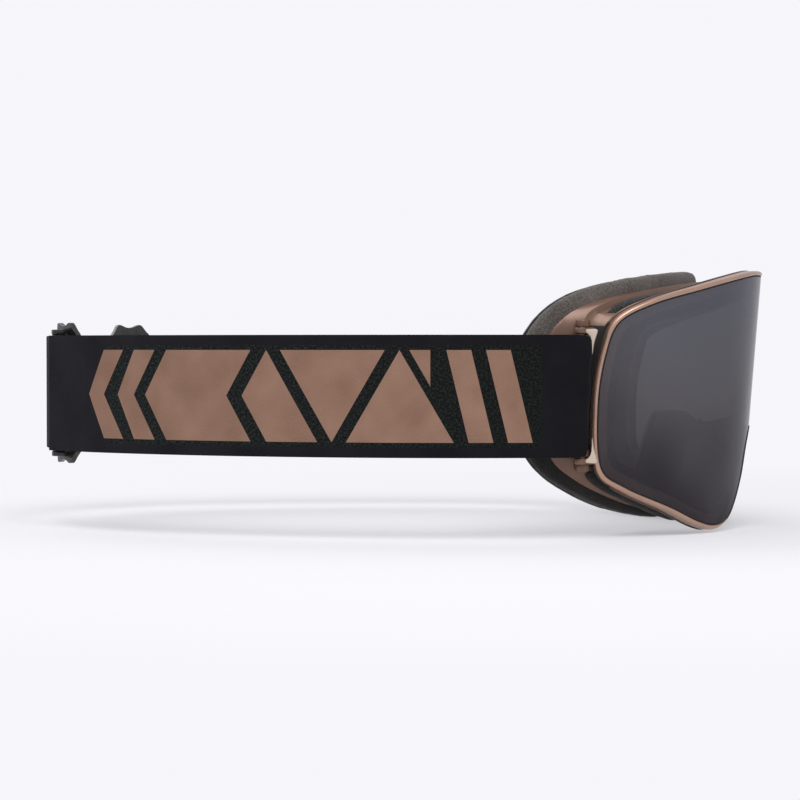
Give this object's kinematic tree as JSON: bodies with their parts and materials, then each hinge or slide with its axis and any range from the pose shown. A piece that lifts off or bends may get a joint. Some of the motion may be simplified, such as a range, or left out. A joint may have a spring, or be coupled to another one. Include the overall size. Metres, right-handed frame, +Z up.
{
  "type": "snow goggles",
  "caption": "Snow goggles with a cylindrical smoke shield lens held by magnets, a rose-gold vented frame, face foam, hinged outriggers and a wide adjustable printed strap.",
  "frame": {"origin": "on the middle plane, at the strap's centre line, in the plane where the face foam ends at the temples; it is the seat on the wearer's face", "axes": "+X forward through the lens, +Y to the wearer's left, +Z up"},
  "size_m": [0.3219, 0.2218, 0.1117],
  "materials": {
    "frame_paint": "satin metallic rose-gold coat over moulded plastic",
    "face_foam": "open-cell brown-grey foam",
    "fleece": "brushed black fleece",
    "vent_foam": "coarse open-cell filter foam",
    "magnet": "nickel-plated",
    "outrigger_paint": "metallic rose-gold coat over moulded plastic",
    "pin_steel": "plain ground steel",
    "carrier_paint": "polished metallic rose-gold coat",
    "outer_lens": "smoke-tinted hard-coated polycarbonate",
    "inner_lens": "clear anti-fog sheet",
    "spacer": "closed-cell spacer foam",
    "gasket": "matt black seal",
    "webbing": "woven elastic webbing",
    "printed_webbing": "woven elastic webbing, printed outside",
    "slider_plastic": "black moulded plastic"
  },
  "bodies": {
    "frame": {"main_frame": "frame_paint", "face_foam": "face_foam", "face_fleece": "fleece", "upper_vent_foam": "vent_foam", "right_lower_vent_foam": "vent_foam", "left_lower_vent_foam": "vent_foam", "frame_magnets": "magnet", "right_outrigger_pins": "pin_steel", "left_outrigger_pins": "pin_steel", "strap_webbing": "webbing", "right_strap_layer": "printed_webbing", "left_strap_layer": "printed_webbing"},
    "lens_unit": {"lens_carrier": "carrier_paint", "outer_lens": "outer_lens", "inner_lens": "inner_lens", "lens_spacer": "spacer", "lens_gasket": "gasket", "carrier_magnets": "magnet"},
    "right_outrigger_link": {"right_outrigger": "outrigger_paint"},
    "left_outrigger_link": {"left_outrigger": "outrigger_paint"},
    "right_strap_slider": {"right_slider": "slider_plastic"},
    "left_strap_slider": {"left_slider": "slider_plastic"}
  },
  "joints": [
    {"name": "lens_pull", "type": "slide", "parent": "frame", "child": "lens_unit", "axis": [1, 0, 0], "range_m": [0, 0.045]},
    {"name": "right_outrigger_pivot", "type": "hinge", "parent": "frame", "child": "right_outrigger_link", "pos_m": [0.03072, -0.08501, 0], "axis": [0, 0, -1], "range_deg": [-6, 6]},
    {"name": "left_outrigger_pivot", "type": "hinge", "parent": "frame", "child": "left_outrigger_link", "pos_m": [0.03072, 0.08501, 0], "axis": [0, 0, 1], "range_deg": [-6, 6]},
    {"name": "right_slider_travel", "type": "hinge", "parent": "frame", "child": "right_strap_slider", "pos_m": [-0.1317, 0, 0], "axis": [0, 0, -1], "range_deg": [-18, 22], "deforming": ["right_strap_layer"]},
    {"name": "left_slider_travel", "type": "hinge", "parent": "frame", "child": "left_strap_slider", "pos_m": [-0.1317, 0, 0], "axis": [0, 0, 1], "range_deg": [-18, 22], "deforming": ["left_strap_layer"]}
  ]
}
